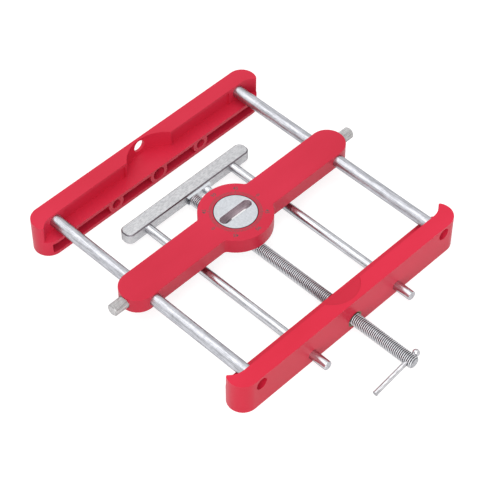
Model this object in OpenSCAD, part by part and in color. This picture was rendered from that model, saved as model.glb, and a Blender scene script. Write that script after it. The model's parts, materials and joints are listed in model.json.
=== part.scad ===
// Mortise and tenon jig. Two moulded jaws are joined by two steel rails. A guide plate with a
// slotted disc slides on the rails, and a lead screw pushes a clamp bar against the work, which
// stands between the clamp bar and the rear jaw. +X runs along the jaws, +Y from the front jaw to
// the rear jaw, +Z is up. The origin is below the middle of the whole jig, where the jaws rest.

/* [Jaws] */
// How far the end of a jaw stands out beyond the end of the guide plate
jaw_over = 0.5; // [-3:0.25:8]
// Depth of a jaw, from its flat outer face to the edge of its lower rail
jaw_d = 19.5; // [18.5:0.5:22]
// Height of a jaw
jaw_h = 24; // [23.5:0.5:28]
// Distance between the outer faces of the two jaws
jaw_span = 185; // [175:1:230]
// Depth of the tall wall behind each outer face
tall_d = 11; // [10:0.5:12.5]
// Height of the ledge on top of the lower rail
ledge_h = 12; // [11.5:0.25:13]
// Thickness of the plastic above, below and behind the open channel of the lower rail
web_t = 2.4; // [1.8:0.1:2.6]
// Depth of the shallow panels in the tall wall
panel_sink = 1.2; // [0.6:0.1:2]
// Thickness of the wall left behind the round recess in the rear jaw
recess_wall = 1.8; // [1.2:0.1:2.6]
// Diameter of the hole through the middle of the rear jaw
hang_hole_d = 8.4; // [6:0.1:9]

/* [Rails] */
// Diameter of the two outer rails
rail_d = 8; // [6:0.5:8.5]
// Distance from the end of the guide plate to the axis of a rail
rail_inset = 14.5; // [13.5:0.25:17.5]
// Height of the rail axes
rail_h = 18.5; // [18:0.1:19]
// How far the rail ends lie inside the outer faces
rail_recess = 5; // [4:0.25:5.5]
// Diameter of the pins that hold the rails in the jaws
rail_pin_d = 3; // [2:0.25:3.5]

/* [Guide plate] */
// Length of the plate
plate_l = 185; // [178:1:195]
// Width of the plate's arms
plate_w = 23; // [20:0.5:26]
// Thickness of the plate
plate_t = 11; // [10:0.5:12]
// Diameter of the round middle of the plate
boss_d = 46.5; // [46:0.5:50]
// Radius of the hollow blends between the arms and the round middle
blend_r = 3; // [1:0.5:5]
// Distance from the front jaw's outer face to the middle of the disc
plate_at = 98; // [60:1:120]

/* [Disc] */
// Diameter of the disc at its top
disc_d = 27; // [26:0.5:29]
// Thickness of the disc above its flange
disc_top_t = 5; // [4:0.25:6]
// Diameter of the disc's flange
disc_flange_d = 32; // [31:0.5:33.5]
// Overall length of the slot
slot_l = 25; // [18:0.5:25]
// Width of the slot
slot_w = 6; // [5:0.25:9]
// Thickness of the ring that holds the disc in from below
ring_t = 2.4; // [2:0.1:3]

/* [Lock knobs] */
// Diameter of a knob
knob_d = 8; // [7:0.25:10]
// How far a knob stands out beyond the end of the plate
knob_reach = 9; // [6:0.5:14]
// Diameter of a knob's threaded shank
lock_d = 4; // [3:0.5:5]
// Diameter of the threaded insert for the shank
insert_d = 7; // [6:0.5:8]

/* [Clamp bar] */
// Length of the clamp bar
bar_l = 104; // [90:1:120]
// Depth of the clamp bar
bar_d = 10; // [9:0.5:12]
// Height of the clamp bar
bar_h = 8; // [7.5:0.25:9]
// Radius of the bar's upright corners
bar_corner_r = 4; // [2:0.25:4.25]
// Distance from the rear jaw's outer face to the middle of the clamp bar
bar_at = 43.5; // [35:0.5:75]
// Diameter of the two guide rods
rod_d = 6; // [4:0.5:6]
// Distance between the guide rods
rod_spacing = 72.5; // [60:0.5:80]
// How far the guide rods stand out of the front jaw
rod_reach = 12.5; // [5:0.5:20]

/* [Lead screw] */
// Outer diameter of the screw thread
screw_d = 8; // [7:0.25:8.5]
// Pitch of the screw thread
screw_pitch = 1.25; // [1:0.25:1.5]
// Height of the screw and the guide rods
drive_h = 7; // [6.75:0.05:7.25]
// How far the screw stands out of the front jaw
screw_reach = 46; // [36:0.5:60]
// Outer diameter of the threaded insert in the front jaw
nut_d = 11; // [10:0.25:11.5]
// Diameter of the tommy bar
tommy_d = 3; // [2:0.25:3.5]
// Length of the tommy bar from the screw's axis to its tip
tommy_l = 29.5; // [20:0.5:29.5]
// Angle that the tommy bar hangs below level
tommy_tilt = 10; // [0:1:10]

/* [Hidden] */
$fn = 96;
// Overrun of a cut past the faces that it goes through
over = 1;
// Radial clearance of a turning or sliding fit
run_gap = 0.05;
// Radial clearance of a seat that is pressed and doesn't move
seat_gap = 0.02;
// Clearance between faces that pass or meet without touching
face_gap = 0.3;

// Places along Y: the screw's front end and the rear jaw's outer face lie equally far from zero
front_y = (screw_reach - jaw_span) / 2;
rear_y = front_y + jaw_span;
plate_y = front_y + plate_at;
bar_y = rear_y - bar_at;
bar_front_y = bar_y - bar_d / 2;

// The jaws and the rails keep their places at the plate's ends
jaw_l = plate_l + 2 * jaw_over;
rail_spacing = plate_l - 2 * rail_inset;

// Jaw outline: half-round ends, and a hooked end of the tall wall that fits round the plate's end
end_r = jaw_d / 2;
end_x = jaw_l / 2 - end_r;
hook_gap = 0.75;
hook_r = plate_w / 2 + hook_gap;
hook_x = plate_l / 2 - plate_w / 2;
hook_y = tall_d + hook_r;
hook_tip_r = 1;
// Boss rings round the holes in the lower rail
rod_ring_d = 12;
screw_ring_d = 14;
rod_pocket_d = 6.4;
screw_pocket_d = 9;
pocket_depth = 12;
// Half length of the solid block that holds each rail, and the lip above the panels
rail_block = 7.5;
lip_t = 2.2;
recess_edge = 1.2;
recess_gap = 0.35;
recess_r = boss_d / 2 + recess_gap;
recess_y = recess_wall + recess_r;
// Shallow round mark on top of the front jaw
mark_r = 17.5;
mark_wall = 2.6;
mark_sink = 0.2;
// The rails' pins stand halfway along the stretch of rail that the jaw holds
rail_x = rail_spacing / 2;
pin_in = (rail_recess + tall_d) / 2;
pin_top = rail_h + rail_d / 4;

// Guide plate and disc
plate_z = rail_h - plate_t / 2;
boss_r = boss_d / 2;
// The hollow blends sink this far into what they run into, so that their edges cross cleanly
blend_sink = 0.02;
disc_gap = 0.1;
ring_d = 42.5;
ring_bore_d = 28;
ring_screw_pcd = 37.4;
ring_screw_count = 3;
ring_screw_d = 2.5;
ring_screw_head_d = 4.6;
ring_screw_head_h = 1.2;
ring_screw_l = 6;
ring_screw_slot = 0.5;
disc_flange_t = plate_t - disc_top_t - ring_t - 2 * disc_gap;

// Lock knobs
knob_pocket = 2.5;
knob_edge = 0.8;
knob_base_x = plate_l / 2 - knob_pocket + face_gap;
insert_wall = 1;
insert_x = rail_x + rail_d / 2 + insert_wall;

// Clamp bar, keeper and screw end
keeper_t = 2;
keeper_h = 6;
keeper_x = 15;
keeper_screw_x = 11;
keeper_screw_d = 3;
keeper_head_d = 5.5;
keeper_head_h = 3;
keeper_socket = 2.5;
keeper_screw_l = 8;
neck_d = 4.4;
collar_d = 6;
collar_l = 4;
washer_t = 0.8;
rod_seat = 7;
rod_pin_d = 2;
rod_edge = 0.5;
bar_edge = 0.7;
thread_depth = 0.6134 * screw_pitch;
nut_l = 10;
nut_collar_d = 12.5;
nut_collar_t = 3;
nut_edge = 0.6;

// Tommy bar: its hole lies just behind the screw's chamfered end
tommy_back = 4;
tommy_head_d = 4.6;
tommy_bore_r = tommy_d / 2 + run_gap;
tommy_head_at = (screw_d / 2 + run_gap) + sqrt(tommy_head_d * tommy_head_d / 4 - tommy_bore_r * tommy_bore_r);
tommy_flare_d = 3.4;
tommy_flare_l = 0.8;

red = [0.83, 0.17, 0.26];
steel = [0.80, 0.81, 0.83];
alloy = [0.86, 0.87, 0.88];
dark_steel = [0.52, 0.53, 0.55];
brass = [0.78, 0.66, 0.38];

// Distance between two points of the plane
function gap(a, b) = norm(b - a);

// The point at distances ra from a and rb from b, on the right of the way from a to b
function meet(a, ra, b, rb) =
    let (d = gap(a, b), along = (ra * ra - rb * rb + d * d) / (2 * d), side = sqrt(ra * ra - along * along))
    a + (b - a) * along / d + [(b - a)[1], -(b - a)[0]] * side / d;

// A round bar along +Y from y0 to y1
module bar_y(d, y0, y1) {
    translate([0, y0, 0]) rotate([-90, 0, 0]) cylinder(d = d, h = y1 - y0);
}

// A round bar along +X from x0 to x1
module bar_x(d, x0, x1) {
    translate([x0, 0, 0]) rotate([0, 90, 0]) cylinder(d = d, h = x1 - x0);
}

// Both sides of something that is given on the +X side
module both_sides() {
    children();
    mirror([1, 0, 0]) children();
}

// Flat outline of a jaw, inset all round: a bar with half-round ends, its outer face on y = inset
module jaw_outline(inset = 0) {
    translate([-end_x, inset]) square([2 * end_x, jaw_d - 2 * inset]);
    both_sides() translate([end_x, end_r]) circle(r = end_r - inset);
}

// Outline of the tall wall: a straight inner edge that curves into a hook at each end
module hooked_outline() {
    corner = [end_x, end_r];
    hollow = [hook_x, hook_y];
    tip = meet(corner, end_r - hook_tip_r, hollow, hook_r + hook_tip_r);
    to_corner = (tip - corner) * hook_tip_r / (end_r - hook_tip_r);
    to_hollow = (hollow - tip) * hook_tip_r / (hook_r + hook_tip_r);
    far = 4;
    difference() {
        jaw_outline();
        translate([-hook_x, tall_d]) square([2 * hook_x, jaw_d]);
        both_sides() translate(hollow) circle(r = hook_r);
        both_sides() translate(tip)
            polygon([[0, 0], far * to_corner, far * (to_corner + to_hollow), far * to_hollow]);
    }
    both_sides() translate(tip) circle(r = hook_tip_r);
}

// Open channel of the lower rail, between the ledge and the bottom web
module channel() {
    inner_r = end_r - web_t;
    open_y = meet([end_x, end_r], end_r, [hook_x, hook_y], hook_r)[1];
    open_x = end_x + sqrt(inner_r * inner_r - (open_y - end_r) * (open_y - end_r));
    translate([0, 0, web_t]) linear_extrude(ledge_h - 2 * web_t) {
        jaw_outline(web_t);
        translate([-open_x, open_y]) square([2 * open_x, jaw_d]);
    }
}

// Ring bosses for the guide rods and the screw, filling the channel from wall to edge
module ring_bosses() {
    both_sides() translate([rod_spacing / 2, 0, drive_h]) bar_y(rod_ring_d, 0, jaw_d);
    translate([0, 0, drive_h]) bar_y(screw_ring_d, 0, jaw_d);
}

// Everything that the two jaws have in common; inner_x is where the shallow panels start
module jaw_blank(inner_x) {
    difference() {
        union() {
            linear_extrude(ledge_h) jaw_outline();
            translate([0, 0, ledge_h - web_t]) linear_extrude(jaw_h - ledge_h + web_t) hooked_outline();
        }
        difference() {
            channel();
            ring_bosses();
        }
        // Shallow panels in the tall wall, under a lip
        both_sides() translate([inner_x, tall_d - panel_sink, ledge_h])
            cube([rail_x - rail_block - inner_x, jaw_d, jaw_h - lip_t - ledge_h]);
        // Bores for the rails, right through, and for the pins that hold them, from below
        both_sides() translate([rail_x, 0, rail_h]) bar_y(rail_d + 2 * seat_gap, -over, jaw_d);
        both_sides() translate([rail_x, pin_in, -over])
            cylinder(d = rail_pin_d + 2 * seat_gap, h = rail_h + over);
    }
}

module front_jaw() {
    color(red) translate([0, front_y, 0]) difference() {
        jaw_blank(mark_r);
        translate([0, mark_wall + mark_r, jaw_h - mark_sink]) cylinder(r = mark_r, h = over);
        both_sides() translate([rod_spacing / 2, 0, drive_h])
            bar_y(rod_d + 2 * run_gap, -over, jaw_d + over);
        // Seat of the threaded insert with its collar, and a clear hole for the screw behind it
        translate([0, 0, drive_h]) {
            bar_y(nut_d + 2 * seat_gap, -over, nut_l + seat_gap);
            bar_y(
                nut_collar_d + 2 * seat_gap,
                (nut_l - nut_collar_t) / 2 - seat_gap,
                (nut_l + nut_collar_t) / 2 + seat_gap
            );
            bar_y(screw_d + 2 * face_gap, 0, jaw_d + over);
        }
    }
}

module rear_jaw() {
    // Half width of the round recess where it meets the tall wall's inner edge
    recess_x = sqrt(recess_r * recess_r - (recess_y - tall_d) * (recess_y - tall_d));
    color(red) translate([0, rear_y, 0]) rotate(180) difference() {
        jaw_blank(recess_x + recess_edge);
        translate([0, recess_y, ledge_h]) cylinder(r = recess_r, h = jaw_h);
        translate([0, 0, rail_h]) bar_y(hang_hole_d, -over, jaw_d);
        // Blind holes in the ring bosses
        both_sides() translate([rod_spacing / 2, 0, drive_h])
            bar_y(rod_pocket_d, jaw_d - pocket_depth, jaw_d + over);
        translate([0, 0, drive_h]) bar_y(screw_pocket_d, jaw_d - pocket_depth, jaw_d + over);
    }
}

module rail(side) {
    color(steel) translate([side * rail_x, 0, rail_h]) difference() {
        bar_y(rail_d, front_y + rail_recess, rear_y - rail_recess);
        for (y = [front_y + pin_in, rear_y - pin_in])
            translate([0, y, -rail_d]) cylinder(d = rail_pin_d + 2 * seat_gap, h = rail_d + pin_top - rail_h);
    }
}

module left_rail() { rail(-1); }

module right_rail() { rail(1); }

// Pins driven up from the channels through the ledges into the rails
module rail_pins() {
    foot = ledge_h - web_t;
    color(steel) for (x = [-rail_x, rail_x], y = [front_y + pin_in, rear_y - pin_in])
        translate([x, y, foot]) cylinder(d = rail_pin_d, h = pin_top - foot);
}

// The plate without its holes: arms with round ends, a round middle and four hollow blends
module plate_blank() {
    arm = plate_l / 2 - plate_w / 2;
    blend_y = plate_w / 2 + blend_r;
    blend_x = sqrt((boss_r + blend_r) * (boss_r + blend_r) - blend_y * blend_y);
    difference() {
        union() {
            translate([-arm, -plate_w / 2, 0]) cube([2 * arm, plate_w, plate_t]);
            cylinder(r = boss_r, h = plate_t);
            both_sides() {
                translate([arm, 0, 0]) cylinder(d = plate_w, h = plate_t);
                for (turn = [0, 1]) mirror([0, turn, 0]) linear_extrude(plate_t)
                    polygon([[0, 0], [blend_x, 0], [blend_x, blend_y]]);
            }
        }
        for (x = [-blend_x, blend_x], y = [-blend_y, blend_y])
            translate([x, y, -over]) cylinder(r = blend_r + blend_sink, h = plate_t + 2 * over);
    }
}

// The places of the small screws in the disc ring
module at_ring_screws() {
    for (i = [0 : ring_screw_count - 1]) rotate(90 + i * 360 / ring_screw_count)
        translate([ring_screw_pcd / 2, 0, 0]) children();
}

module guide_plate() {
    axis_z = plate_t / 2;
    color(red) translate([0, plate_y, plate_z]) difference() {
        plate_blank();
        both_sides() {
            translate([rail_x, 0, axis_z]) bar_y(rail_d + 2 * run_gap, -plate_w, plate_w);
            translate([0, 0, axis_z]) bar_x(insert_d + 2 * seat_gap, rail_x, plate_l / 2);
            translate([0, 0, axis_z])
                bar_x(knob_d + 2 * face_gap, plate_l / 2 - knob_pocket, plate_l / 2 + over);
        }
        // Stepped bore for the disc, and the seat of the ring below it
        translate([0, 0, -over]) cylinder(d = disc_d + 2 * disc_gap, h = plate_t + 2 * over);
        translate([0, 0, -over])
            cylinder(d = disc_flange_d + 2 * disc_gap, h = plate_t - disc_top_t + over);
        translate([0, 0, -over]) cylinder(d = ring_d + 2 * seat_gap, h = ring_t + over);
        at_ring_screws() cylinder(d = ring_screw_d + 2 * seat_gap, h = ring_screw_l);
    }
}

module slot_disc() {
    top_z = plate_t;
    flange_z = plate_t - disc_top_t - disc_gap;
    color(alloy) translate([0, plate_y, plate_z]) difference() {
        union() {
            translate([0, 0, flange_z - disc_flange_t]) cylinder(d = disc_flange_d, h = disc_flange_t);
            translate([0, 0, flange_z - disc_flange_t])
                cylinder(d = disc_d, h = top_z - flange_z + disc_flange_t);
        }
        for (x = [-1, 1] * (slot_l - slot_w) / 2)
            translate([x, 0, -over]) cylinder(d = slot_w, h = plate_t + 2 * over);
        translate([-(slot_l - slot_w) / 2, -slot_w / 2, -over])
            cube([slot_l - slot_w, slot_w, plate_t + 2 * over]);
    }
}

module disc_ring() {
    color(alloy) translate([0, plate_y, plate_z]) difference() {
        cylinder(d = ring_d, h = ring_t);
        translate([0, 0, -over]) cylinder(d = ring_bore_d, h = ring_t + 2 * over);
        at_ring_screws() {
            translate([0, 0, -over]) cylinder(d = ring_screw_d + 2 * seat_gap, h = ring_t + 2 * over);
            cylinder(d1 = ring_screw_head_d, d2 = ring_screw_d + 2 * seat_gap, h = ring_screw_head_h);
        }
    }
}

module ring_screws() {
    color(steel) translate([0, plate_y, plate_z]) at_ring_screws() difference() {
        union() {
            cylinder(d = ring_screw_d, h = ring_screw_l);
            cylinder(d1 = ring_screw_head_d - 2 * seat_gap, d2 = ring_screw_d, h = ring_screw_head_h);
        }
        translate([-ring_screw_head_d, -ring_screw_slot / 2, -over])
            cube([2 * ring_screw_head_d, ring_screw_slot, ring_screw_slot + over]);
    }
}

// Threaded insert in one end of the plate; its inner end lies a wall away from the rail
module insert() {
    end = plate_l / 2 - knob_pocket;
    color(brass) translate([0, plate_y, rail_h]) difference() {
        bar_x(insert_d, insert_x, end);
        bar_x(lock_d + 2 * run_gap, insert_x - over, end + over);
    }
}

module left_insert() { mirror([1, 0, 0]) insert(); }

module right_insert() { insert(); }

// Lock knob with its shank, which meets the rail when it is turned in
module knob() {
    end = plate_l / 2 + knob_reach;
    color(steel) translate([0, plate_y, rail_h]) rotate([0, 90, 0]) {
        translate([0, 0, knob_base_x]) {
            cylinder(d1 = knob_d - 2 * knob_edge, d2 = knob_d, h = knob_edge);
            translate([0, 0, knob_edge]) cylinder(d = knob_d, h = end - knob_base_x - 2 * knob_edge);
        }
        translate([0, 0, end - knob_edge])
            cylinder(d1 = knob_d, d2 = knob_d - 2 * knob_edge, h = knob_edge);
        translate([0, 0, rail_x + rail_d / 2 + face_gap])
            cylinder(d = lock_d, h = knob_base_x - rail_x - rail_d / 2 - face_gap + knob_edge);
    }
}

module left_knob() { mirror([1, 0, 0]) knob(); }

module right_knob() { knob(); }

// Threaded insert for the lead screw. The front jaw is moulded round it and grips its collar
module lead_nut() {
    color(brass) translate([0, front_y, drive_h]) difference() {
        union() {
            bar_y(nut_d, 0, nut_l);
            bar_y(nut_collar_d, (nut_l - nut_collar_t) / 2, (nut_l + nut_collar_t) / 2);
        }
        bar_y(screw_d + 2 * run_gap, -over, nut_l + over);
        rotate([-90, 0, 0]) {
            cylinder(d1 = screw_d + 2 * run_gap + 2 * nut_edge, d2 = screw_d, h = nut_edge);
            translate([0, 0, nut_l - nut_edge])
                cylinder(d1 = screw_d, d2 = screw_d + 2 * run_gap + 2 * nut_edge, h = nut_edge);
        }
    }
}

// Where the tommy bar crosses the screw, turned to its resting angle
module at_tommy() {
    translate([0, front_y - screw_reach + tommy_back, drive_h]) rotate([0, -tommy_tilt, 0]) children();
}

// Half outline of the screw along its axis: chamfered thread, neck for the keeper, end collar
function screw_outline() =
    let (
        r = screw_d / 2,
        core_r = r - thread_depth,
        start = front_y - screw_reach,
        neck_y = bar_front_y - keeper_t - run_gap,
        collar_y = bar_front_y + run_gap
    )
    [
        [0, start], [core_r, start], [r, start + thread_depth],
        [r, neck_y - thread_depth], [core_r, neck_y], [neck_d / 2, neck_y],
        [neck_d / 2, collar_y], [collar_d / 2, collar_y],
        [collar_d / 2, collar_y + collar_l], [0, collar_y + collar_l]
    ];

module lead_screw() {
    color(dark_steel) difference() {
        translate([0, 0, drive_h]) rotate([-90, 0, 0]) rotate_extrude() polygon(screw_outline());
        at_tommy() bar_x(tommy_d + 2 * run_gap, -screw_d, screw_d);
    }
}

// Tommy bar with a ball head at one end and a small peened tip at the other
module tommy_bar() {
    color(steel) at_tommy() {
        bar_x(tommy_d, -tommy_l, tommy_head_at);
        translate([tommy_head_at, 0, 0]) sphere(d = tommy_head_d);
        bar_x(tommy_flare_d, -tommy_l, tommy_flare_l - tommy_l);
    }
}

// Small thrust washer between the screw's end and the bottom of its bore in the bar
module thrust_washer() {
    start = bar_front_y + collar_l + 2 * run_gap;
    color(steel) translate([0, 0, drive_h]) bar_y(collar_d - 2 * run_gap, start, start + washer_t);
}

// Forked keeper plate on the bar's front face, whose fork lies in the neck of the screw
module keeper() {
    start = bar_front_y - keeper_t;
    color(steel) difference() {
        translate([-screw_d / 2, start, drive_h - keeper_h / 2])
            cube([keeper_x + screw_d / 2, keeper_t, keeper_h]);
        translate([0, 0, drive_h]) bar_y(neck_d + 4 * run_gap, start - over, bar_front_y + over);
        translate([-screw_d, start - over, drive_h - neck_d / 2 - 2 * run_gap])
            cube([screw_d, keeper_t + 2 * over, neck_d + 4 * run_gap]);
        translate([keeper_screw_x, 0, drive_h])
            bar_y(keeper_screw_d + 2 * seat_gap, start - over, bar_front_y + over);
    }
}

// Socket screw that holds the keeper to the bar
module keeper_screw() {
    start = bar_front_y - keeper_t - keeper_head_h;
    color(steel) translate([keeper_screw_x, 0, drive_h]) difference() {
        union() {
            bar_y(keeper_head_d, start, start + keeper_head_h);
            bar_y(keeper_screw_d, start, start + keeper_head_h + keeper_screw_l);
        }
        translate([0, start - over, 0]) rotate([-90, 0, 0])
            cylinder(d = keeper_socket, h = keeper_head_h / 2 + over, $fn = 6);
    }
}

// Half of an upright section, h high and w wide, with its outer edges chamfered
module chamfer_section(w, h, edge) {
    polygon([[0, 0], [w - edge, 0], [w, edge], [w, h - edge], [w - edge, h], [0, h]]);
}

// The clamp bar without its holes, chamfered along its top and bottom and round its corners
module bar_blank() {
    corner_x = bar_l / 2 - bar_corner_r;
    corner_y = bar_d / 2 - bar_corner_r;
    rotate([90, 0, 90]) translate([0, 0, -corner_x]) linear_extrude(2 * corner_x)
        both_sides() chamfer_section(bar_d / 2, bar_h, bar_edge);
    rotate([90, 0, 0]) translate([0, 0, -corner_y]) linear_extrude(2 * corner_y)
        both_sides() chamfer_section(bar_l / 2, bar_h, bar_edge);
    for (x = [-corner_x, corner_x], y = [-corner_y, corner_y]) translate([x, y, 0])
        rotate_extrude() chamfer_section(bar_corner_r, bar_h, bar_edge);
}

module clamp_bar() {
    bore_l = collar_l + washer_t + 2 * run_gap;
    color(steel) difference() {
        translate([0, bar_y, drive_h - bar_h / 2]) bar_blank();
        translate([0, 0, drive_h]) {
            bar_y(collar_d + 2 * run_gap, bar_front_y - over, bar_front_y + bore_l);
            both_sides() translate([rod_spacing / 2, 0, 0])
                bar_y(rod_d + 2 * seat_gap, bar_front_y - over, bar_front_y + rod_seat);
            translate([keeper_screw_x, 0, 0]) bar_y(
                keeper_screw_d + 2 * seat_gap,
                bar_front_y - over,
                bar_front_y + keeper_screw_l - keeper_t
            );
        }
        both_sides() translate([rod_spacing / 2, bar_front_y + rod_seat / 2, 0])
            cylinder(d = rod_pin_d + 2 * seat_gap, h = drive_h);
    }
}

module guide_rod(side) {
    start = front_y - rod_reach;
    color(steel) translate([side * rod_spacing / 2, 0, drive_h]) difference() {
        union() {
            translate([0, start, 0]) rotate([-90, 0, 0])
                cylinder(d1 = rod_d - 2 * rod_edge, d2 = rod_d, h = rod_edge);
            bar_y(rod_d, start + rod_edge, bar_front_y + rod_seat);
        }
        translate([0, bar_front_y + rod_seat / 2, -rod_d])
            cylinder(d = rod_pin_d + 2 * seat_gap, h = rod_d + rod_pin_d / 2);
    }
}

module left_guide_rod() { guide_rod(-1); }

module right_guide_rod() { guide_rod(1); }

// Pins pressed into the bar from below, through the guide rods
module rod_pins() {
    foot = drive_h - bar_h / 2;
    color(steel) for (x = [-1, 1] * rod_spacing / 2)
        translate([x, bar_front_y + rod_seat / 2, foot])
            cylinder(d = rod_pin_d, h = drive_h + rod_pin_d / 2 - foot);
}

front_jaw();
rear_jaw();
left_rail();
right_rail();
rail_pins();
guide_plate();
slot_disc();
disc_ring();
ring_screws();
left_insert();
right_insert();
left_knob();
right_knob();
lead_nut();
lead_screw();
tommy_bar();
thrust_washer();
keeper();
keeper_screw();
clamp_bar();
left_guide_rod();
right_guide_rod();
rod_pins();
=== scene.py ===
"""Mortise and tenon jig: looks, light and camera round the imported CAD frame.

Lengths in this file are millimetres in the frame's axes: +X along the jaws, +Y from the front jaw
to the rear jaw, +Z up from the jaws' undersides. MM turns them into Blender's metres where a mesh,
a material, a lamp or the camera is made.
"""
import json
import math

import bmesh
import bpy
import numpy as np
from mathutils import Matrix, Vector


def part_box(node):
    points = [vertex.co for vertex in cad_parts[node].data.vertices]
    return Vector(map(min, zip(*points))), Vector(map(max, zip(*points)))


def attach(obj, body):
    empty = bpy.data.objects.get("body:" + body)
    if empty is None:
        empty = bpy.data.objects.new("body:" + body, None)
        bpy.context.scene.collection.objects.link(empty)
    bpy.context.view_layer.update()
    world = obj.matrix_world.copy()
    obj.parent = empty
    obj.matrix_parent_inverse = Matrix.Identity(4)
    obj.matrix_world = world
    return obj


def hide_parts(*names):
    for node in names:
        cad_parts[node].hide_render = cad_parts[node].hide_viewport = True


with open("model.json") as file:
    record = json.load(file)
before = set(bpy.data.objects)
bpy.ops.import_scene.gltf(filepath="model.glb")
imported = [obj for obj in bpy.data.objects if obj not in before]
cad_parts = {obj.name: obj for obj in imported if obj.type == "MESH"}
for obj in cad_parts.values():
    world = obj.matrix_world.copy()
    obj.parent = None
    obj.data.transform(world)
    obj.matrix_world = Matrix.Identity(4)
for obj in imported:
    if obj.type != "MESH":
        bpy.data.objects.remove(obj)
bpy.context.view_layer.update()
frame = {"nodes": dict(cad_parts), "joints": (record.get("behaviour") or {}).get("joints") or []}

MM = 0.001
TURN = 2 * math.pi
# How near a point lies to a face or a circle to count as on it
NEAR = 0.05
# Share of up in a unit normal: less than UPRIGHT on a wall, SLOPING to LEVEL on a chamfer
UPRIGHT = 0.3
SLOPING = 0.5
LEVEL = 0.9
nodes = frame["nodes"]


# Places read from the frame
def box_mm(node):
    """Lowest and highest corner of a CAD node, as two arrays."""
    low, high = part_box(node)
    return np.array(low) / MM, np.array(high) / MM


def middle_mm(node):
    """Middle of a CAD node's box."""
    low, high = box_mm(node)
    return (low + high) / 2


plate_low, plate_high = box_mm("guide_plate")
front_low, front_high = box_mm("front_jaw")
plate_top = plate_high[2]
jaw_top = front_high[2]
disc_x, disc_y = middle_mm("slot_disc")[:2]
screw_z = middle_mm("lead_screw")[2]
# Places along Y of the screw's front end and of the clamp bar's front face
screw_front = box_mm("lead_screw")[0][1]
bar_face = box_mm("clamp_bar")[0][1]


# Making of meshes and pieces
def read(items, name, width, kind=np.float32):
    """One property of a mesh's points, edges, corners or faces, as rows of the given width."""
    values = np.empty(len(items) * width, kind)
    items.foreach_get(name, values)
    return values.reshape(-1, width)


def surface_mesh(name, points, faces, sharp=40.0, crest=None):
    """A mesh from an array of points and a list of face arrays.

    Each entry of faces is an array of rows of point numbers, all rows of one length. Faces are
    smooth, and edges that turn by more than sharp degrees are marked sharp. crest, if given, is
    stored on the points for the material: 1 on a thread's or knurl's crest and 0 in its groove.
    """
    mesh = bpy.data.meshes.new(name)
    points = np.asarray(points, float) * MM
    rows = [np.asarray(part, np.int32) for part in faces]
    sizes = np.concatenate([np.full(len(part), part.shape[1], np.int32) for part in rows])
    corners = np.concatenate([part.ravel() for part in rows])
    starts = np.concatenate([[0], np.cumsum(sizes)[:-1]]).astype(np.int32)
    mesh.vertices.add(len(points))
    mesh.vertices.foreach_set("co", points.astype(np.float32).ravel())
    mesh.loops.add(len(corners))
    mesh.loops.foreach_set("vertex_index", corners)
    mesh.polygons.add(len(sizes))
    mesh.polygons.foreach_set("loop_start", starts)
    mesh.polygons.foreach_set("use_smooth", np.ones(len(sizes), bool))
    mesh.update(calc_edges=True)
    if crest is not None:
        values = np.ones(len(points), np.float32)
        values[:crest.size] = crest.ravel()
        mesh.attributes.new("crest", "FLOAT", "POINT").data.foreach_set("value", values)
    mesh.validate()
    mesh.set_sharp_from_angle(angle=math.radians(sharp))
    return mesh


def finished(name, mesh, body, material):
    """Puts a mesh into the scene as a piece that rides on a body and material."""
    piece = bpy.data.objects.new(name, mesh)
    bpy.context.scene.collection.objects.link(piece)
    mesh.materials.append(material)
    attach(piece, body)
    return piece


def even_rings(radii, columns):
    """Rows of one radius each, for turned()."""
    return np.repeat(np.asarray(radii, float)[:, None], columns, 1)


def turned(stations, radii, axis_point, axis):
    """Closed surface round an axis that isn't upright, as (points, faces).

    Row i lies at distance s = stations[i] along the axis, and column j at angle t = 2 pi j / columns.
    The point is axis_point + s axis + r (cos t u + sin t v), with u and v square to the axis and r
    from radii, a grid of one radius a point. A pole closes each end.
    """
    axis = np.asarray(axis, float) / np.linalg.norm(axis)
    u = np.cross(axis, [0.0, 0.0, 1.0])
    u = u / np.linalg.norm(u)
    v = np.cross(axis, u)
    rows, columns = radii.shape
    angle = np.arange(columns) * TURN / columns
    ring = np.cos(angle)[:, None] * u + np.sin(angle)[:, None] * v
    centres = np.asarray(axis_point, float) + np.asarray(stations, float)[:, None] * axis
    points = centres[:, None] + radii[:, :, None] * ring
    first = np.arange(rows - 1)[:, None] * columns
    here = np.arange(columns)
    beside = (here + 1) % columns
    quads = np.stack([first + here, first + beside, first + columns + beside, first + columns + here], -1)
    pole = np.full(columns, rows * columns)
    last = (rows - 1) * columns
    near_end = np.stack([pole, beside, here], -1)
    far_end = np.stack([pole + 1, last + here, last + beside], -1)
    points = np.concatenate([points.reshape(-1, 3), centres[[0, -1]]])
    return points, [quads.reshape(-1, 4), near_end, far_end]


def final_mesh(item):
    """New mesh of an object as its modifiers or its text leave it."""
    return bpy.data.meshes.new_from_object(item.evaluated_get(bpy.context.evaluated_depsgraph_get()))


# Sides of the round drill
DRILL_COLUMNS = 48


def drill(piece, place, axis, radius, reach, sharp):
    """Cuts a round hole through a piece: all within radius of the line through place along axis."""
    points, faces = turned([-reach, reach], even_rings([radius, radius], DRILL_COLUMNS), place, axis)
    cutter = bpy.data.objects.new("drill", surface_mesh("drill", points, faces))
    bpy.context.scene.collection.objects.link(cutter)
    cut = piece.modifiers.new("cross_hole", "BOOLEAN")
    cut.operation = "DIFFERENCE"
    cut.solver = "EXACT"
    cut.object = cutter
    drilled = final_mesh(piece)
    piece.modifiers.clear()
    bpy.data.meshes.remove(cutter.data)
    drilled.set_sharp_from_angle(angle=math.radians(sharp))
    piece.data = drilled


# How near two points are to be merged, and how many degrees of turn still count as flat
MERGE_REACH = 0.0002
FLAT_TURN = 0.4


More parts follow.
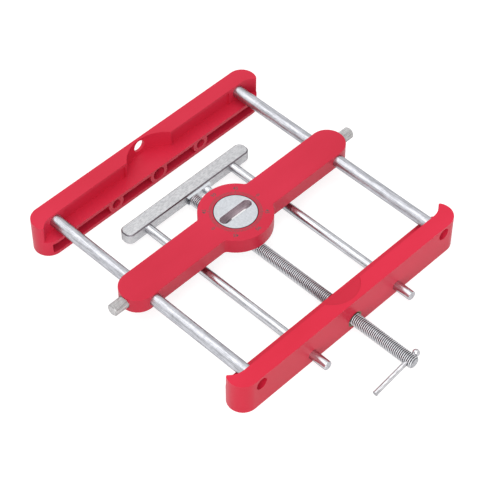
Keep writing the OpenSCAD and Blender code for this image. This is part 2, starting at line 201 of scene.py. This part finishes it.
def merged_mesh(name, node):
    """A copy of a CAD node's mesh with its doubled points merged and its flat triangles joined."""
    work = bmesh.new()
    work.from_mesh(nodes[node].data)
    bmesh.ops.remove_doubles(work, verts=work.verts, dist=MERGE_REACH * MM)
    bmesh.ops.dissolve_limit(
        work, angle_limit=math.radians(FLAT_TURN), use_dissolve_boundaries=False,
        verts=work.verts, edges=work.edges,
    )
    mesh = bpy.data.meshes.new(name)
    work.to_mesh(mesh)
    work.free()
    return mesh


def edge_turns(mesh):
    """Angle in degrees by which the surface turns at each edge, 0 where it hasn't two faces.

    The normals a and b of an edge's faces add up to a vector whose squared length is 2 + 2 a.b,
    and a.b is the cosine of the turn.
    """
    normals = read(mesh.polygons, "normal", 3).astype(float)
    sides = read(mesh.polygons, "loop_total", 1, np.int32).ravel()
    edge = read(mesh.loops, "edge_index", 1, np.int32).ravel()
    sums = np.zeros((len(mesh.edges), 3))
    np.add.at(sums, edge, np.repeat(normals, sides, 0))
    cosine = np.clip((sums ** 2).sum(1) / 2 - 1, -1, 1)
    paired = np.bincount(edge, minlength=len(mesh.edges)) == 2
    return np.where(paired, np.degrees(np.arccos(cosine)), 0.0)


def softened(
    name, node, body, material, width_of, widest, segments=3, sharpest=32.0,
    sink_of=None, second=None, second_at=None,
):
    """A merged copy of a CAD node with its sharp edges rounded, which replaces the node.

    width_of(middles) gives the rounding of each edge that turns by more than sharpest degrees, from
    an array of edge middles; it becomes the Bevel modifier's edge weight as a share of widest.
    sink_of(points) gives how far each point sinks. second is another material, for the faces that
    second_at(centres, normals) picks.
    """
    mesh = merged_mesh(name, node)
    points = read(mesh.vertices, "co", 3).astype(float) / MM
    if sink_of is not None:
        points[:, 2] -= sink_of(points)
        mesh.vertices.foreach_set("co", (points * MM).astype(np.float32).ravel())
        mesh.update()
    ends = read(mesh.edges, "vertices", 2, np.int32)
    middles = (points[ends[:, 0]] + points[ends[:, 1]]) / 2
    weights = np.where(edge_turns(mesh) > sharpest, width_of(middles) / widest, 0.0)
    layer = mesh.attributes.new("bevel_weight_edge", "FLOAT", "EDGE")
    layer.data.foreach_set("value", np.clip(weights, 0, 1).astype(np.float32))
    mesh.polygons.foreach_set("use_smooth", np.ones(len(mesh.polygons), bool))
    piece = finished(name, mesh, body, material)
    if second is not None:
        mesh.materials.append(second)
        centres = read(mesh.polygons, "center", 3).astype(float) / MM
        picked = second_at(centres, read(mesh.polygons, "normal", 3))
        mesh.polygons.foreach_set("material_index", picked.astype(np.int32))
    bevel = piece.modifiers.new("rounded_edges", "BEVEL")
    bevel.limit_method = "WEIGHT"
    bevel.offset_type = "OFFSET"
    bevel.width = widest * MM
    bevel.segments = segments
    bevel.use_clamp_overlap = True
    bevel.miter_outer = "MITER_SHARP"
    normals = piece.modifiers.new("even_normals", "WEIGHTED_NORMAL")
    normals.mode = "FACE_AREA"
    normals.weight = 50
    normals.keep_sharp = True
    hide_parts(node)


# Parts of a node material
def new_material(name):
    """An empty node material with its Principled shader: (material, tree, shader)."""
    material = bpy.data.materials.new(name)
    material.use_nodes = True
    tree = material.node_tree
    return material, tree, tree.nodes["Principled BSDF"]


def linear(colour):
    """Linear colour of an sRGB colour given in 0..255."""
    share = np.array(colour) / 255
    return tuple(np.where(share <= 0.04045, share / 12.92, ((share + 0.055) / 1.055) ** 2.4))


def maths(tree, operation, first, second=0.0):
    """Output of a Math node, whose operands are numbers or other nodes' outputs."""
    node = tree.nodes.new("ShaderNodeMath")
    node.operation = operation
    for socket, value in zip(node.inputs, (first, second)):
        if isinstance(value, bpy.types.NodeSocket):
            tree.links.new(value, socket)
        else:
            socket.default_value = value
    return node.outputs[0]


def mapped(tree, source, from_range=(0, 1), to_range=(0, 1)):
    """Source carried from one range over to another and held at the ends."""
    node = tree.nodes.new("ShaderNodeMapRange")
    for name, value in zip(("From Min", "From Max", "To Min", "To Max"), (*from_range, *to_range)):
        node.inputs[name].default_value = value
    tree.links.new(source, node.inputs["Value"])
    return node.outputs["Result"]


def object_noise(tree, scale, detail=3.0, stretch=(1, 1, 1)):
    """Noise on Object coordinates, with scale in features a metre.

    A stretch below one draws the noise out along that axis.
    """
    where = tree.nodes.new("ShaderNodeTexCoord")
    mapping = tree.nodes.new("ShaderNodeMapping")
    mapping.inputs["Scale"].default_value = stretch
    noise = tree.nodes.new("ShaderNodeTexNoise")
    noise.inputs["Scale"].default_value = scale
    noise.inputs["Detail"].default_value = detail
    tree.links.new(where.outputs["Object"], mapping.inputs["Vector"])
    tree.links.new(mapping.outputs["Vector"], noise.inputs["Vector"])
    return noise.outputs["Fac"]


def ramp(tree, source, low, high):
    """Colour that goes over source from one stop to another, each a place and an sRGB colour."""
    node = tree.nodes.new("ShaderNodeValToRGB")
    for element, (place, colour) in zip(node.color_ramp.elements, (low, high)):
        element.position = place
        element.color = (*linear(colour), 1.0)
    tree.links.new(source, node.inputs["Fac"])
    return node.outputs["Color"]


def mixed(tree, factor, base, colour):
    """Colour output that goes from base to an sRGB colour with factor."""
    mix = tree.nodes.new("ShaderNodeMix")
    mix.data_type = "RGBA"
    base_socket, colour_socket, result_socket = mix.inputs[6], mix.inputs[7], mix.outputs[2]
    tree.links.new(factor, mix.inputs["Factor"])
    tree.links.new(base, base_socket)
    colour_socket.default_value = (*linear(colour), 1.0)
    return result_socket


def bumped(tree, shader, height, strength, depth):
    """Lays a bump of the given strength and depth over the shader's surface."""
    bump = tree.nodes.new("ShaderNodeBump")
    bump.inputs["Strength"].default_value = strength
    bump.inputs["Distance"].default_value = depth * MM
    tree.links.new(height, bump.inputs["Height"])
    tree.links.new(bump.outputs["Normal"], shader.inputs["Normal"])


def from_disc_axis(tree):
    """Object coordinates counted from the disc's axis, in metres."""
    where = tree.nodes.new("ShaderNodeTexCoord")
    offset = tree.nodes.new("ShaderNodeVectorMath")
    offset.operation = "SUBTRACT"
    offset.inputs[1].default_value = (disc_x * MM, disc_y * MM, 0)
    tree.links.new(where.outputs["Object"], offset.inputs[0])
    return offset.outputs["Vector"]


def ring_mask(tree, radius, width):
    """1 within 0.35 widths of a circle round the disc's axis, falling to 0 at half a width."""
    flat = tree.nodes.new("ShaderNodeVectorMath")
    flat.operation = "MULTIPLY"
    flat.inputs[1].default_value = (1, 1, 0)
    length = tree.nodes.new("ShaderNodeVectorMath")
    length.operation = "LENGTH"
    tree.links.new(from_disc_axis(tree), flat.inputs[0])
    tree.links.new(flat.outputs["Vector"], length.inputs[0])
    away = maths(tree, "ABSOLUTE", maths(tree, "SUBTRACT", length.outputs["Value"], radius * MM))
    return mapped(tree, away, (0.35 * width * MM, 0.5 * width * MM), (1, 0))


def seen_directly(tree):
    """1 for what the camera sees, in mirrors and glass too, and 0 for light on its way to a surface."""
    rays = tree.nodes.new("ShaderNodeLightPath").outputs
    seen = maths(tree, "MAXIMUM", rays["Is Camera Ray"], rays["Is Glossy Ray"])
    return maths(tree, "MAXIMUM", seen, rays["Is Transmission Ray"])


# Materials
# Circles of painted shade round the disc's axis, on the plate and on the disc, darkening the gap where
# the plate meets the disc
PLATE_GAP_SHADE_R = 13.62
DISC_RIM_SHADE_R = 13.55


def moulded_plastic(name, low, high, gap_shade_radius=None):
    """Satin red moulding: slow flow marks in the colour, fine spark grain in the surface.

    The last argument, if given, is the radius of a ring of painted shade round the disc's axis,
    for the dark gap where the plate meets the disc.
    """
    material, tree, shader = new_material(name)
    flow = object_noise(tree, scale=28.0, stretch=(0.35, 1.0, 1.0))
    grain = object_noise(tree, scale=2600.0, detail=2.0)
    colour = ramp(tree, flow, (0.30, low), (0.70, high))
    if gap_shade_radius is not None:
        # Painted shade: a dark ring where the plate meets the disc, for the shadow in the gap
        colour = mixed(tree, ring_mask(tree, gap_shade_radius, width=0.6), colour, (72, 22, 32))
    tree.links.new(colour, shader.inputs["Base Color"])
    tree.links.new(mapped(tree, flow, to_range=(0.34, 0.46)), shader.inputs["Roughness"])
    shader.inputs["IOR"].default_value = 1.48
    shader.inputs["Specular IOR Level"].default_value = 0.26
    bumped(tree, shader, grain, strength=0.10, depth=0.12)
    return material


# Axis that a metal's drawn or ground lines run along
ALONG_X = 0
ALONG_Y = 1


def drawn_metal(
    name, dark, light, along, rough=(0.22, 0.36), scratch=0.12, edge=0.35, grooves=None, drag=0.02,
    dent=0.05,
):
    """Drawn or ground metal: long fine lines along one axis over a fine cloud of tone.

    The lines show in colour, gloss and height. rough is the range of the roughness and scratch the
    strength of the bump. edge is the tint towards grazing angles. grooves is the dark colour
    painted at the bottom of a thread or knurl, by the stored crest value, as painted shade in the
    grooves. drag is the width of a line over its length. dent is the depth of the bump.
    """
    material, tree, shader = new_material(name)
    stretch = [1.0, 1.0, 1.0]
    stretch[along] = drag
    lines = object_noise(tree, scale=1500.0, detail=2.0, stretch=stretch)
    cloud = object_noise(tree, scale=620.0, detail=4.0)
    tone = maths(tree, "ADD", maths(tree, "MULTIPLY", lines, 0.75), maths(tree, "MULTIPLY", cloud, 0.25))
    colour = ramp(tree, tone, (0.36, dark), (0.62, light))
    # Painted shade: darker colour down in a thread's or knurl's grooves, by the stored crest value
    if grooves is not None:
        stored = tree.nodes.new("ShaderNodeAttribute")
        stored.attribute_name = "crest"
        depth = mapped(tree, stored.outputs["Fac"], (0.10, 0.60), (1, 0))
        colour = mixed(tree, depth, colour, grooves)
    tree.links.new(colour, shader.inputs["Base Color"])
    shader.inputs["Metallic"].default_value = 1.0
    shader.inputs["Specular Tint"].default_value = (edge, edge, edge * 1.03, 1)
    tree.links.new(mapped(tree, lines, to_range=rough), shader.inputs["Roughness"])
    bumped(tree, shader, maths(tree, "ADD", lines, cloud), scratch, dent)
    return material


def turned_alloy(name, low, high):
    """Pale matt aluminium with fine turning rings round the disc's axis and a rim darkened with painted
    shade.
    """
    material, tree, shader = new_material(name)
    rings = tree.nodes.new("ShaderNodeTexWave")
    rings.wave_type = "RINGS"
    rings.rings_direction = "Z"
    rings.inputs["Scale"].default_value = 900.0
    rings.inputs["Distortion"].default_value = 1.5
    tree.links.new(from_disc_axis(tree), rings.inputs["Vector"])
    cloud = object_noise(tree, scale=900.0, detail=4.0)
    colour = ramp(tree, cloud, (0.32, low), (0.68, high))
    # Painted shade: a dark ring at the disc's rim, for the shadow in the gap beside the plate
    colour = mixed(tree, ring_mask(tree, DISC_RIM_SHADE_R, width=0.7), colour, (84, 76, 78))
    tree.links.new(colour, shader.inputs["Base Color"])
    shader.inputs["Metallic"].default_value = 0.85
    tree.links.new(mapped(tree, rings.outputs["Fac"], to_range=(0.38, 0.5)), shader.inputs["Roughness"])
    bumped(tree, shader, maths(tree, "ADD", rings.outputs["Fac"], cloud), strength=0.10, depth=0.04)
    return material


def printed_ink(name, low, high):
    """Matt printed ink, slightly uneven."""
    material, tree, shader = new_material(name)
    cloud = object_noise(tree, scale=900.0, detail=2.0)
    tree.links.new(ramp(tree, cloud, (0.3, low), (0.7, high)), shader.inputs["Base Color"])
    shader.inputs["Roughness"].default_value = 0.55
    return material


plastic = moulded_plastic("red_moulding", (207, 32, 58), (219, 41, 70))
plate_plastic = moulded_plastic("red_plate_moulding", (194, 33, 57), (207, 42, 68), PLATE_GAP_SHADE_R)
# Painted shade: the rear jaw's copy of the red is darker, as the light falls off towards the rear
rear_shaded_plastic = moulded_plastic("red_rear_moulding_shaded", (200, 34, 58), (212, 43, 70))
# Painted shade: a darker copy of the red for the floor of the shallow mark on the front jaw
mark_shade_plastic = moulded_plastic("red_moulding_mark_shade", (194, 29, 53), (206, 37, 64))
rail_steel = drawn_metal(
    "plated_bar", (162, 163, 168), (204, 205, 211), ALONG_Y,
    rough=(0.26, 0.40), scratch=0.5, edge=0.5, drag=0.07, dent=0.11,
)
rod_steel = drawn_metal(
    "bright_rod", (172, 173, 177), (212, 213, 217), ALONG_Y,
    rough=(0.15, 0.27), scratch=0.4, edge=0.45, drag=0.05, dent=0.06,
)
cross_steel = drawn_metal(
    "plated_cross_bar", (162, 161, 164), (214, 213, 216), ALONG_X, rough=(0.12, 0.24), scratch=0.2,
)
ground_steel = drawn_metal(
    "ground_bar", (182, 183, 186), (210, 211, 213), ALONG_X,
    rough=(0.34, 0.50), scratch=0.3, edge=0.3, drag=0.35,
)
# Painted shade: a dark steel on the clamp bar's chamfers, a dark line along its edges in place of a
# highlight
bar_edge_shade_steel = drawn_metal("ground_bar_shaded_edge", (96, 92, 98), (134, 130, 136), ALONG_X, rough=(0.30, 0.42))
# Thread and knurl: their grooves are darkened with painted shade
thread_steel = drawn_metal(
    "rolled_thread", (192, 193, 197), (228, 229, 232), ALONG_Y,
    rough=(0.24, 0.36), scratch=0.1, edge=0.08, grooves=(40, 40, 46),
)
knurl_steel = drawn_metal(
    "knurled_steel", (182, 180, 180), (218, 217, 217), ALONG_X,
    rough=(0.28, 0.42), scratch=0.1, edge=0.4, grooves=(74, 71, 71),
)
ring_alloy = drawn_metal(
    "ring_alloy", (206, 210, 214), (222, 226, 230), ALONG_X, rough=(0.34, 0.52), scratch=0.15,
)
# Painted shade and reflection: a darker mauve alloy for the slot's walls, for the shade in the slot and
# the red it reflects
slot_shade_alloy = drawn_metal(
    "slot_wall", (184, 166, 174), (216, 200, 207), ALONG_X, rough=(0.45, 0.60), scratch=0.2,
)
turned_brass = drawn_metal("turned_brass", (126, 114, 98), (152, 140, 120), ALONG_Y, rough=(0.26, 0.40))
disc_alloy = turned_alloy("turned_alloy", (192, 195, 200), (208, 211, 216))
ink = printed_ink("scale_ink", (82, 62, 64), (108, 82, 82))


# Jaws
JAW_ROUND = 0.9
JAW_HOLE_ROUND = 0.25
# Depth of the tall wall behind the front jaw's outer face
WALL_D = 11.0
# Shallow round mark on top of the front jaw: its radius, the wall in front of it, its depth in the
# CAD model, how much deeper it is drawn, and the rounding of its rim
MARK_R = 17.5
MARK_WALL = 2.6
MARK_SINK = 0.2
MARK_MORE = 0.25
MARK_ROUND = 0.08

wall_y = front_low[1] + WALL_D
mark_y = front_low[1] + MARK_WALL + MARK_R


def jaw_rounding(middles):
    """JAW_ROUND round a jaw's top face, half of that underneath, less at holes and the channel."""
    top = np.abs(middles[:, 2] - jaw_top) < NEAR
    bottom = np.abs(middles[:, 2]) < NEAR
    return np.where(top, JAW_ROUND, np.where(bottom, JAW_ROUND / 2, JAW_HOLE_ROUND))


def front_jaw_rounding(middles):
    """As on any jaw, but nearly sharp round the shallow mark, up to the wall's inner edge."""
    reach = np.hypot(middles[:, 0], middles[:, 1] - mark_y)
    in_mark = (reach < MARK_R + NEAR) & (middles[:, 1] < wall_y - NEAR)
    on_top = middles[:, 2] > jaw_top - MARK_SINK - NEAR
    return np.where(in_mark & on_top, MARK_ROUND, jaw_rounding(middles))


def mark_sinking(points):
    """Draws the mark's floor deeper, so that its rim can be seen."""
    return (np.abs(points[:, 2] - (jaw_top - MARK_SINK)) < NEAR) * MARK_MORE


def mark_floor(centres, normals):
    """Picks the mark's floor, once it is drawn deeper, which takes the darker red of painted shade."""
    floor_z = jaw_top - MARK_SINK - MARK_MORE
    return (np.abs(centres[:, 2] - floor_z) < NEAR) & (normals[:, 2] > LEVEL)


softened(
    "front_jaw_moulding", "front_jaw", "jaw_frame", plastic, front_jaw_rounding, JAW_ROUND,
    sink_of=mark_sinking, second=mark_shade_plastic, second_at=mark_floor,
)
softened(
    "rear_jaw_moulding", "rear_jaw", "jaw_frame", rear_shaded_plastic, jaw_rounding, JAW_ROUND,
)


# Guide plate
PLATE_ROUND = 1.2
PLATE_UNDER_ROUND = 0.4
PLATE_HOLE_ROUND = 0.2
# Within this radius of the disc's axis the plate's edges belong to holes and seats
PLATE_HOLES_R = 21.5
# The plate's top is drawn lower by this, to leave room for the ink inside the CAD model's box
INK_ROOM = 0.04


def plate_rounding(middles):
    """PLATE_ROUND along the plate's upper edge, less below it and least round its holes."""
    top = np.abs(middles[:, 2] - plate_top) < NEAR
    bottom = np.abs(middles[:, 2] - plate_low[2]) < NEAR
    outer = np.hypot(middles[:, 0] - disc_x, middles[:, 1] - disc_y) > PLATE_HOLES_R
    under = np.where(bottom & outer, PLATE_UNDER_ROUND, PLATE_HOLE_ROUND)
    return np.where(top & outer, PLATE_ROUND, under)


def ink_sinking(points):
    """Lowers the plate's top face by INK_ROOM."""
    return (points[:, 2] > plate_top - INK_ROOM / 2) * INK_ROOM


softened(
    "guide_plate_moulding", "guide_plate", "guide", plate_plastic, plate_rounding,
    PLATE_ROUND, segments=4, sink_of=ink_sinking,
)


# Disc and clamp bar
DISC_ROUND = 0.25
BAR_ROUND = 0.3
SLOT_L = 25.0
SLOT_W = 6.0


def even(width):
    """The same rounding for every sharp edge."""
    return lambda middles: np.full(len(middles), width)


def slot_walls(centres, normals):
    """Picks the upright faces of the slot through the disc, which take a darker mauve as painted shade
    and painted reflection of the red.
    """
    along = np.abs(centres[:, 0] - disc_x) < SLOT_L / 2 + NEAR
    across = np.abs(centres[:, 1] - disc_y) < SLOT_W / 2 + NEAR
    return along & across & (np.abs(normals[:, 2]) < UPRIGHT)


def long_chamfers(centres, normals):
    """Picks the sloping faces along the clamp bar's top and bottom, which take a dark steel as painted
    shade.
    """
    return (np.abs(normals[:, 2]) > SLOPING) & (np.abs(normals[:, 2]) < LEVEL)


softened(
    "slotted_disc", "slot_disc", "disc", disc_alloy, even(DISC_ROUND), DISC_ROUND,
    segments=2, second=slot_shade_alloy, second_at=slot_walls,
)
softened(
    "ground_clamp_bar", "clamp_bar", "clamp", ground_steel, even(BAR_ROUND), BAR_ROUND,
    segments=2, sharpest=25.0, second=bar_edge_shade_steel, second_at=long_chamfers,
)


# Lead screw
SCREW_D = 8.0
PITCH = 1.25
# Depth of a standard metric thread
THREAD_DEPTH = 0.6134 * PITCH
# Shares of the pitch in the thread's flat root and in its two flanks; the rest is its flat crest
ROOT_SHARE = 0.12
FLANK_SHARE = 0.70
THREAD_COLUMNS = 40
STEPS_A_TURN = 10
# Rings on the screw's flat front end, as shares of the thread's core
END_RINGS = (0.55, 0.92)
KEEPER_T = 2.0
NECK_D = 4.4
COLLAR_D = 6.0
COLLAR_L = 4.0
RUN_GAP = 0.05
TOMMY_D = 3.0
TOMMY_GAP = 0.1
SCREW_SHARP = 55.0


def threaded_screw():
    """Lead screw with a real right-hand thread.

    r = core + depth h(f), where f is the fraction of (s / pitch - t / 2 pi), s the distance along
    +Y and t the right-handed angle about it, and h a triangle wave cut flat at the root and the
    crest. Cones at both ends of the thread cap r. The neck and collar follow as plain rings.
    turned() starts its angle on the cross product of +Y and +Z, which is +X, and goes on towards
    -Z, which is right-handed about +Y.
    """
    neck = bar_face - KEEPER_T - RUN_GAP
    collar = bar_face + RUN_GAP
    core = SCREW_D / 2 - THREAD_DEPTH
    thread = np.append(np.arange(screw_front, neck, PITCH / STEPS_A_TURN), neck)
    share_of_turn = np.arange(THREAD_COLUMNS) / THREAD_COLUMNS
    fraction = (thread[:, None] / PITCH - share_of_turn) % 1.0
    height = np.clip((1 - np.abs(2 * fraction - 1) - ROOT_SHARE) / FLANK_SHARE, 0, 1)
    cap = core + np.minimum(thread - screw_front, neck - thread)
    front_end = [core * share for share in END_RINGS]
    tail = [(neck, NECK_D), (collar, NECK_D), (collar, COLLAR_D), (collar + COLLAR_L, COLLAR_D)]
    stations = np.concatenate([[screw_front, screw_front], thread, [place for place, _ in tail]])
    radii = np.concatenate([
        even_rings(front_end, THREAD_COLUMNS),
        np.minimum(core + THREAD_DEPTH * height, cap[:, None]),
        even_rings([diameter / 2 for _, diameter in tail], THREAD_COLUMNS),
    ])
    crest = np.ones(radii.shape)
    crest[len(front_end):-len(tail)] = height
    points, faces = turned(stations, radii, [0, 0, screw_z], [0, 1, 0])
    mesh = surface_mesh("threaded_screw", points, faces, SCREW_SHARP, crest)
    return finished("threaded_screw", mesh, "screw", thread_steel)


screw = threaded_screw()
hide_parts("lead_screw")
cross_hole = [0, middle_mm("tommy_bar")[1], screw_z]
cross_axis = next(joint["axis"] for joint in frame["joints"] if joint["name"] == "tommy_slide")
drill(screw, cross_hole, cross_axis, TOMMY_D / 2 + TOMMY_GAP, SCREW_D, SCREW_SHARP)


# Lock knobs
KNOB_D = 8.0
KNOB_EDGE = 0.8
KNOB_SHARP = 50.0
# Depth of the pocket in the plate's end that takes the knob, and the gap behind the knob
KNOB_POCKET = 2.5
FACE_GAP = 0.3
# Radius of the last ring on a knob's flat outer end
KNOB_END_R = 2.4
SHANK_D = 4.0
SHANK_EDGE = 0.4
KNURL_DEPTH = 0.3
KNURL_COUNT = 24
KNURL_LEAD = 1.0
KNURL_COLUMNS = 240
KNURL_ROWS = 96


def flat_wave(x):
    """Triangle wave of period 1, 0 at whole numbers, with its upper third cut flat at 1."""
    return np.clip((0.5 - np.abs(x % 1.0 - 0.5)) * 3, 0, 1)


def knurled_knob(name, body, side):
    """Lock knob with a diamond knurl, on the plate's end at the given side of X.

    r = R - depth (1 - min(w(n t + s / lead), w(n t - s / lead))), with w from flat_wave(), n waves a
    turn, t the share of a turn and s the distance along the axis, so grooves of both hands leave
    raised diamonds. Chamfers cap r at both ends.
    """
    low, high = box_mm(name)
    inner, outer = sorted(np.abs([low[0], high[0]]))
    base = plate_high[0] - KNOB_POCKET + FACE_GAP
    along = np.linspace(base, outer, KNURL_ROWS)
    around = KNURL_COUNT * np.arange(KNURL_COLUMNS) / KNURL_COLUMNS
    rise = along[:, None] / KNURL_LEAD
    height = np.minimum(flat_wave(around + rise), flat_wave(around - rise))
    cap = KNOB_D / 2 - KNOB_EDGE + np.minimum(along - base, outer - along)
    shank = [SHANK_D / 2 - SHANK_EDGE, SHANK_D / 2, SHANK_D / 2]
    stations = np.concatenate([[inner, inner + SHANK_EDGE, base], along, [outer]])
    radii = np.concatenate([
        even_rings(shank, KNURL_COLUMNS),
        np.minimum(KNOB_D / 2 - KNURL_DEPTH * (1 - height), cap[:, None]),
        even_rings([KNOB_END_R], KNURL_COLUMNS),
    ])
    crest = np.ones(radii.shape)
    crest[len(shank):-1] = height
    points, faces = turned(stations, radii, [0, *middle_mm(name)[1:]], [side, 0, 0])
    mesh = surface_mesh(f"{name}_knurled", points, faces, KNOB_SHARP, crest)
    piece = finished(f"{name}_knurled", mesh, body, knurl_steel)
    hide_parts(name)


knurled_knob("right_knob", "right_lock", 1)
knurled_knob("left_knob", "left_lock", -1)


# Degree scale round the disc
TICK_COUNT = 120
TICKS_TO_LONG = 15
TICK_IN = 14.3
TICK_OUT = 16.4
TICK_LONG = 17.2
# Half widths of a tick and of a long tick
TICK_HALF_W = 0.13
LONG_HALF_W = 0.17
# Heights of the ink's top and of the ticks' feet from the CAD plate's top
INK_TOP = -0.010
INK_FOOT = -0.35
FIGURES = (0, 45, 90, 45, 0, 45, 90, 45)
FIGURE_R = 18.9
# Font size of the numbers, and how much their strokes are thickened to each side
FIGURE_SIZE = 3.51
FIGURE_SPREAD = 0.04
FIGURE_HALF_T = 0.1


def degree_ticks():
    """Thin raised bars between two radii, one each 3 degrees and a longer one each 45 degrees.

    Corner (i, j, k) of a tick at angle a is disc centre + r_i radial(a) + w_j across(a), at height
    plate_top + z_k, so all ticks come from one outer product of angles and corners.
    """
    number = np.arange(TICK_COUNT)
    angle = (number * TURN / TICK_COUNT)[:, None]
    long = (number % TICKS_TO_LONG == 0)[:, None]
    corner = np.array([[i, j, k] for k in (0, 1) for i, j in ((0, -1), (1, -1), (1, 1), (0, 1))])
    radius = np.where(corner[:, 0] == 0, TICK_IN, np.where(long, TICK_LONG, TICK_OUT))
    across = corner[:, 1] * np.where(long, LONG_HALF_W, TICK_HALF_W)
    x = disc_x + radius * np.cos(angle) - across * np.sin(angle)
    y = disc_y + radius * np.sin(angle) + across * np.cos(angle)
    z = plate_top + np.where(corner[:, 2] == 1, INK_TOP, INK_FOOT)
    points = np.stack([x, y, np.broadcast_to(z, x.shape)], -1).reshape(-1, 3)
    ends = [[4, 5, 6, 7], [3, 2, 1, 0]]
    sides = [[0, 1, 5, 4], [1, 2, 6, 5], [2, 3, 7, 6], [3, 0, 4, 7]]
    faces = (number[:, None, None] * len(corner) + np.array(ends + sides)).reshape(-1, 4)
    finished("degree_ticks", surface_mesh("degree_ticks", points, [faces]), "guide", ink)


def flat_figure(number):
    """Mesh of a plain number, centred on the origin and lying in the XY plane."""
    text = bpy.data.curves.new("figure", "FONT")
    text.body = str(number)
    text.size = FIGURE_SIZE * MM
    text.offset = FIGURE_SPREAD * MM
    text.extrude = FIGURE_HALF_T * MM
    text.align_x = "CENTER"
    text.align_y = "CENTER"
    text.resolution_u = 2
    holder = bpy.data.objects.new("figure", text)
    bpy.context.scene.collection.objects.link(holder)
    shape = final_mesh(holder)
    bpy.data.curves.remove(text)
    return shape


def degree_figures():
    """The numbers at every 45 degrees, read from outside, as one mesh that ends at the ink's top."""
    joined = bmesh.new()
    for number, angle in zip(FIGURES, np.arange(len(FIGURES)) * TURN / len(FIGURES)):
        place = MM * np.array([
            disc_x + FIGURE_R * math.cos(angle),
            disc_y + FIGURE_R * math.sin(angle),
            plate_top + INK_TOP - FIGURE_HALF_T,
        ])
        shape = flat_figure(number)
        shape.transform(Matrix.Translation(place) @ Matrix.Rotation(angle - TURN / 4, 4, "Z"))
        joined.from_mesh(shape)
        bpy.data.meshes.remove(shape)
    mesh = bpy.data.meshes.new("degree_figures")
    joined.to_mesh(mesh)
    joined.free()
    finished("degree_figures", mesh, "guide", ink)


degree_ticks()
degree_figures()


# CAD nodes that keep their shape
KEPT = {
    "left_rail": rail_steel, "right_rail": rail_steel, "rail_pins": rail_steel,
    "left_guide_rod": rod_steel, "right_guide_rod": rod_steel, "rod_pins": rod_steel,
    "disc_ring": ring_alloy, "ring_screws": rail_steel,
    "left_insert": turned_brass, "right_insert": turned_brass, "lead_nut": turned_brass,
    "tommy_bar": cross_steel, "thrust_washer": rail_steel,
    "keeper": ring_alloy, "keeper_screw": ring_alloy,
}
for node, material in KEPT.items():
    nodes[node].data.materials.clear()
    nodes[node].data.materials.append(material)


# Floor, world and lamps
FLOOR_REACH = 6000.0
FLOOR_Z = -0.2
FLOOR_GREY = 0.45
FLOOR_GLOW = 0.74
WORLD_LEVEL = 0.64


def pale_floor():
    """A wide flat floor just under the jaws. The camera sees it brighter than it lights the jig."""
    mesh = bpy.data.meshes.new("floor")
    signs = ((-1, -1), (1, -1), (1, 1), (-1, 1))
    corners = [(x * FLOOR_REACH * MM, y * FLOOR_REACH * MM, FLOOR_Z * MM) for x, y in signs]
    mesh.from_pydata(corners, [], [(0, 1, 2, 3)])
    floor = bpy.data.objects.new("floor", mesh)
    bpy.context.scene.collection.objects.link(floor)
    material, tree, shader = new_material("pale_floor")
    shader.inputs["Base Color"].default_value = (FLOOR_GREY, FLOOR_GREY, FLOOR_GREY, 1)
    shader.inputs["Roughness"].default_value = 0.9
    shader.inputs["Specular IOR Level"].default_value = 0.0
    shader.inputs["Emission Color"].default_value = (1, 1, 1, 1)
    glow = maths(tree, "MULTIPLY", seen_directly(tree), FLOOR_GLOW)
    tree.links.new(glow, shader.inputs["Emission Strength"])
    mesh.materials.append(material)


def studio_world():
    """White to the camera and to reflections, and a plain even light of WORLD_LEVEL otherwise."""
    world = bpy.data.worlds.new("studio")
    bpy.context.scene.world = world
    world.use_nodes = True
    tree = world.node_tree
    background = tree.nodes["Background"]
    background.inputs["Color"].default_value = (1, 1, 1, 1)
    strength = mapped(tree, seen_directly(tree), to_range=(WORLD_LEVEL, 1.0))
    tree.links.new(strength, background.inputs["Strength"])


def area_lamp(name, place, size, power):
    """A soft square lamp at place, turned towards the frame's origin, with its power in watts."""
    data = bpy.data.lights.new(name, "AREA")
    data.shape = "SQUARE"
    data.size = size * MM
    data.energy = power
    lamp = bpy.data.objects.new(name, data)
    bpy.context.scene.collection.objects.link(lamp)
    lamp.location = Vector(place) * MM
    lamp.rotation_mode = "QUATERNION"
    lamp.rotation_quaternion = (-Vector(place)).to_track_quat("-Z", "Y")


pale_floor()
studio_world()
area_lamp("key_light", place=(-150, -300, 850), size=900, power=2.0)
area_lamp("rear_light", place=(-300, 500, 1300), size=1300, power=5.5)
area_lamp("left_fill", place=(-800, -700, 450), size=1000, power=6.0)


# Camera at the photograph's angle
# Fitted to the photograph: angles in degrees, focal length in pixels of the picture
CAMERA_AZIMUTH = -45.314
CAMERA_ELEVATION = 48.971
CAMERA_DISTANCE = 1090.0
CAMERA_AIM = (-10.74, 14.25, 18.23)
FOCAL_PX = 1825.81
IMAGE_PX = 480
SENSOR_W = 36.0
NEAREST = 50.0
FARTHEST = 50000.0


def photo_camera():
    """Level camera round the aim point at the photograph's azimuth, elevation and distance."""
    data = bpy.data.cameras.new("camera")
    camera = bpy.data.objects.new("camera", data)
    bpy.context.scene.collection.objects.link(camera)
    bpy.context.scene.camera = camera
    azimuth = math.radians(CAMERA_AZIMUTH)
    elevation = math.radians(CAMERA_ELEVATION)
    back = Vector((
        math.sin(azimuth) * math.cos(elevation),
        -math.cos(azimuth) * math.cos(elevation),
        math.sin(elevation),
    ))
    camera.location = (Vector(CAMERA_AIM) + back * CAMERA_DISTANCE) * MM
    camera.rotation_mode = "QUATERNION"
    camera.rotation_quaternion = (-back).to_track_quat("-Z", "Y")
    data.sensor_width = SENSOR_W
    data.lens = FOCAL_PX / IMAGE_PX * SENSOR_W
    data.clip_start = NEAREST * MM
    data.clip_end = FARTHEST * MM


photo_camera()
bpy.context.scene.view_settings.view_transform = "Standard"
